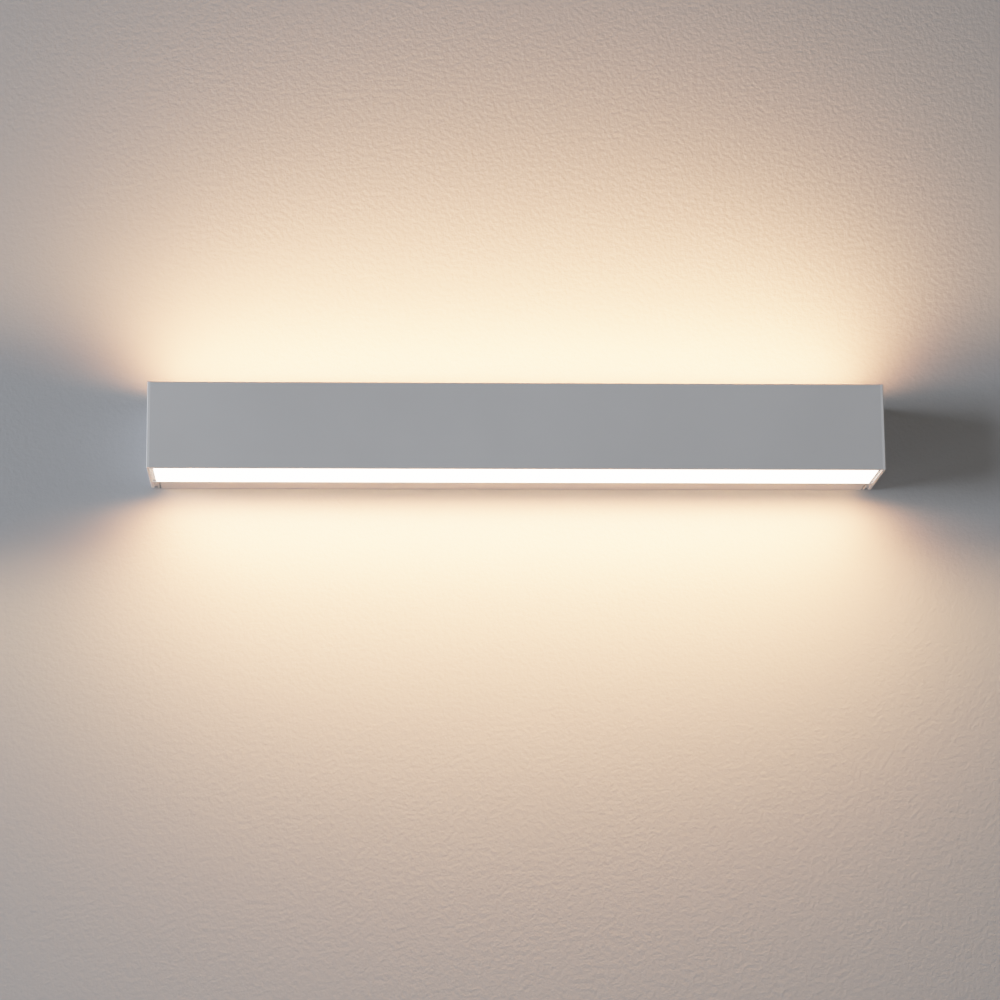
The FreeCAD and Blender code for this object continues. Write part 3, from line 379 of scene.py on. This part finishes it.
def capacitor_sleeve():
    """Black shrink sleeve with a pale stripe down one side, and a bare aluminium top."""
    material, tree, shader = new_material("capacitor_sleeve")
    normal = add(tree, "SeparateXYZ", {0: add(tree, "NewGeometry").outputs["Normal"]})
    top = calc(tree, "GREATER_THAN", normal.outputs[2], 0.9)
    stripe = calc(tree, "GREATER_THAN", normal.outputs[1], 0.93)
    wrinkle = noise(tree, places(tree), 700.0)
    black = shades(tree, wrinkle, (0.012, 0.012, 0.014), (0.024, 0.024, 0.027))
    sleeve = pick(tree, stripe, black, (0.55, 0.55, 0.56))
    connect(
        tree,
        shader,
        {
            "Base Color": pick(tree, top, sleeve, (0.75, 0.75, 0.76)),
            "Metallic": top,
            "Roughness": between(tree, wrinkle, 0.22, 0.34),
            "Normal": bump(tree, wrinkle, 0.15, 0.0001),
        },
    )
    return material


def insulation(name, dark, light):
    """A lead's plastic skin, with the faint ripple that the extruder leaves."""
    material, tree, shader = new_material(name)
    ripple = noise(tree, places(tree), 420.0, 2.0)
    connect(
        tree,
        shader,
        {
            "Base Color": shades(tree, ripple, dark, light),
            "Roughness": between(tree, ripple, 0.34, 0.46),
            "Normal": bump(tree, ripple, 0.15, 0.0001),
        },
    )
    return material


def earth_insulation():
    """Green skin with a yellow stripe along both sides of the lead."""
    material, tree, shader = new_material("earth_insulation")
    normal = add(tree, "SeparateXYZ", {0: add(tree, "NewGeometry").outputs["Normal"]})
    stripe = calc(tree, "GREATER_THAN", calc(tree, "ABSOLUTE", normal.outputs[2]), 0.72)
    ripple = noise(tree, places(tree), 420.0, 2.0)
    green = shades(tree, ripple, (0.035, 0.230, 0.040), (0.050, 0.300, 0.055))
    connect(
        tree,
        shader,
        {
            "Base Color": pick(tree, stripe, green, (0.82, 0.66, 0.03)),
            "Roughness": between(tree, ripple, 0.34, 0.46),
            "Normal": bump(tree, ripple, 0.15, 0.0001),
        },
    )
    return material


def tinned_brass():
    material, tree, shader = new_material("tinned_brass")
    worn = noise(tree, places(tree), 600.0, 4.0, 0.6)
    connect(
        tree,
        shader,
        {
            "Base Color": shades(tree, worn, (0.62, 0.52, 0.32), (0.76, 0.74, 0.70), 0.25, 0.45),
            "Metallic": 1.0,
            "Roughness": between(tree, worn, 0.40, 0.26),
            "Normal": bump(tree, worn, 0.1, 0.00005),
        },
    )
    return material


def make_materials():
    return {
        "satin_paint": satin_paint("satin_paint", (0.590, 0.595, 0.610), (0.630, 0.635, 0.650)),
        # The caps' paint is a lighter copy of the body's paint: a painted highlight for the light that the
        # caps' front edges catch.
        "cap_paint": satin_paint("cap_paint", (0.690, 0.695, 0.710), (0.735, 0.740, 0.755)),
        "bracket_paint": satin_paint("bracket_paint", (0.680, 0.675, 0.665), (0.730, 0.725, 0.715)),
        "opal_plastic": opal_plastic(),
        "screw_steel": screw_steel(),
        "black_rubber": black_rubber(),
        "board_white": board_white(),
        "led_phosphor": led_phosphor(),
        "connector_plastic": moulded_plastic(
            "connector_plastic", (0.78, 0.77, 0.72), (0.85, 0.84, 0.80), 0.40
        ),
        "driver_plastic": moulded_plastic(
            "driver_plastic", (0.72, 0.72, 0.70), (0.78, 0.78, 0.76), 0.45, 700.0
        ),
        "circuit_green": circuit_green(),
        "transformer_tape": transformer_tape(),
        "capacitor_sleeve": capacitor_sleeve(),
        "terminal_plastic": moulded_plastic("terminal_plastic", (0.58, 0.59, 0.60), (0.66, 0.67, 0.68), 0.34),
        "button_plastic": moulded_plastic("button_plastic", (0.74, 0.20, 0.015), (0.82, 0.26, 0.025), 0.30),
        "brown_insulation": insulation("brown_insulation", (0.085, 0.036, 0.016), (0.120, 0.052, 0.024)),
        "blue_insulation": insulation("blue_insulation", (0.012, 0.080, 0.330), (0.020, 0.115, 0.430)),
        "earth_insulation": earth_insulation(),
        "red_insulation": insulation("red_insulation", (0.420, 0.012, 0.012), (0.520, 0.022, 0.020)),
        "black_insulation": insulation("black_insulation", (0.010, 0.010, 0.010), (0.020, 0.020, 0.021)),
        "tinned_brass": tinned_brass(),
    }


def dress_nodes():
    """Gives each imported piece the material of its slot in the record."""
    materials = make_materials()
    for subpart in frame["record"]["subparts"]:
        piece = nodes[subpart["node"]]
        for slot in piece.material_slots:
            slot.material = materials[subpart["material_slot"]]


# Stage, light and camera


def flat_sheet(name, corners, material):
    mesh = bpy.data.meshes.new(name)
    mesh.from_pydata(corners, [], [range(len(corners))])
    mesh.materials.append(material)
    sheet = bpy.data.objects.new(name, mesh)
    scene.collection.objects.link(sheet)
    return sheet


def wall_plaster():
    """Pale plaster, drawn on the room side only, so that the lamp's back can be seen from behind."""
    material, tree, shader = new_material("wall_plaster")
    pores = noise(tree, places(tree), 260.0, 3.0, 0.6)
    connect(
        tree,
        shader,
        {
            "Base Color": (0.43, 0.44, 0.46, 1.0),
            "Roughness": 0.9,
            "Normal": bump(tree, pores, 0.35, 0.001),
        },
    )
    behind = add(tree, "NewGeometry").outputs["Backfacing"]
    clear = add(tree, "BsdfTransparent").outputs["BSDF"]
    sided = add(tree, "MixShader", {0: behind, 1: shader.outputs["BSDF"], 2: clear})
    tree.links.new(sided.outputs[0], tree.nodes["Material Output"].inputs["Surface"])
    return material


def floor_paint():
    material, tree, shader = new_material("floor_paint")
    cloud = noise(tree, places(tree), 1.5, 3.0)
    color = shades(tree, cloud, (0.70, 0.69, 0.68), (0.74, 0.73, 0.72))
    connect(tree, shader, {"Base Color": color, "Roughness": 0.8})
    return material


def make_stage():
    wide, far = WALL_HALF_WIDTH, FLOOR_HALF_WIDTH
    wall_corners = [
        (-wide, WALL_GAP, FLOOR_LEVEL),
        (wide, WALL_GAP, FLOOR_LEVEL),
        (wide, WALL_GAP, WALL_TOP),
        (-wide, WALL_GAP, WALL_TOP),
    ]
    wall = flat_sheet("backdrop", wall_corners, wall_plaster())
    wall.visible_shadow = False
    floor_corners = [
        (-far, -far, FLOOR_LEVEL),
        (far, -far, FLOOR_LEVEL),
        (far, far, FLOOR_LEVEL),
        (-far, far, FLOOR_LEVEL),
    ]
    flat_sheet("floor", floor_corners, floor_paint())
    return wall


def area_light(name, place, turn, size, power, color):
    """A soft light that the camera doesn't see, turned from facing straight down."""
    data = bpy.data.lights.new(name, "AREA")
    data.shape = "DISK"
    data.size = size
    data.energy = power
    data.color = color
    light = bpy.data.objects.new(name, data)
    light.location = place
    light.rotation_euler = turn
    light.visible_camera = False
    scene.collection.objects.link(light)
    return light


def strip_light(name, place, turn, length, width, glow):
    """A long light that goes with the lamp's head."""
    light = area_light(name, place, (turn, 0, 0), length, glow["power"], glow["color"])
    light.data.shape = "RECTANGLE"
    light.data.size_y = width
    light.data.spread = glow["spread"]
    light.parent = frame["bodies"]["lamp_head"]
    return light


def diffuser_light(node, direction, wall_alone):
    """What a diffuser sends to the wall: two washes, a wide halo and a glow past its rear edge."""
    low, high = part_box(node)
    length, width = high.x - low.x, high.y - low.y
    face = max(abs(low.z), abs(high.z)) + WASH_OFFSET
    middle = Vector((0, (low.y + high.y) / 2, direction * face))
    outward = 0 if direction < 0 else math.pi
    for name, wash in WASHES.items():
        strip_light(f"{node}_{name}_wash", middle, outward, length, width, wash)
    halo_glow = {**HALO, "power": HALO_POWERS[node]}
    halo = strip_light(f"{node}_halo", middle, outward, HALO_LENGTH, width, halo_glow)
    halo.data.shape = "ELLIPSE"
    edge = Vector((0, high.y, direction * (face + EDGE_GLOW_WIDTH / 2)))
    glow_length = length - 2 * EDGE_GLOW_INSET
    glow = strip_light(f"{node}_edge_glow", edge, math.pi / 2, glow_length, EDGE_GLOW_WIDTH, EDGE_GLOW)
    glow.light_linking.receiver_collection = wall_alone


def room_light(name, place, size, power, color):
    """A large round light that faces the lamp."""
    turn = (-Vector(place)).to_track_quat("-Z", "Y").to_euler()
    area_light(name, place, turn, size, power, color)


def make_light(wall):
    wall_alone = bpy.data.collections.new("wall_alone")
    wall_alone.objects.link(wall)
    diffuser_light("upper_diffuser", 1, wall_alone)
    diffuser_light("lower_diffuser", -1, wall_alone)
    for name, light in ROOM_LIGHTS.items():
        room_light(name, **light)
    world = bpy.data.worlds.new("studio")
    world.use_nodes = True
    background = world.node_tree.nodes["Background"]
    background.inputs["Color"].default_value = WORLD_COLOR
    background.inputs["Strength"].default_value = WORLD_STRENGTH
    scene.world = world


def soft_highlights():
    """Shows tones under the knee as they are and rolls brighter ones off, as a camera does."""
    settings = scene.view_settings
    settings.view_transform = "Standard"
    settings.use_curve_mapping = True
    mapping = settings.curve_mapping
    mapping.white_level = (HIGHLIGHT_END, HIGHLIGHT_END, HIGHLIGHT_END)
    points = mapping.curves[3].points
    points[-1].location = (1.0, 1.0)
    room = 1.0 - HIGHLIGHT_KNEE
    for step in range(HIGHLIGHT_STEPS):
        tone = HIGHLIGHT_KNEE * (HIGHLIGHT_END / HIGHLIGHT_KNEE) ** (step / HIGHLIGHT_STEPS)
        points.new(tone / HIGHLIGHT_END, 1.0 - room * math.exp((HIGHLIGHT_KNEE - tone) / room))
    mapping.update()


def make_camera():
    data = bpy.data.cameras.new("camera")
    data.sensor_width = SENSOR_WIDTH
    data.lens = FOCAL_PIXELS / FRAME_SIDE * SENSOR_WIDTH
    camera = bpy.data.objects.new("camera", data)
    turn = (
        Matrix.Rotation(-CAMERA_YAW, 4, "Z")
        @ Matrix.Rotation(math.pi / 2 + CAMERA_PITCH, 4, "X")
        @ Matrix.Rotation(CAMERA_ROLL, 4, "Z")
    )
    camera.matrix_world = Matrix.Translation(CAMERA_PLACE) @ turn
    scene.collection.objects.link(camera)
    scene.camera = camera


dress_nodes()
make_light(make_stage())
soft_highlights()
make_camera()
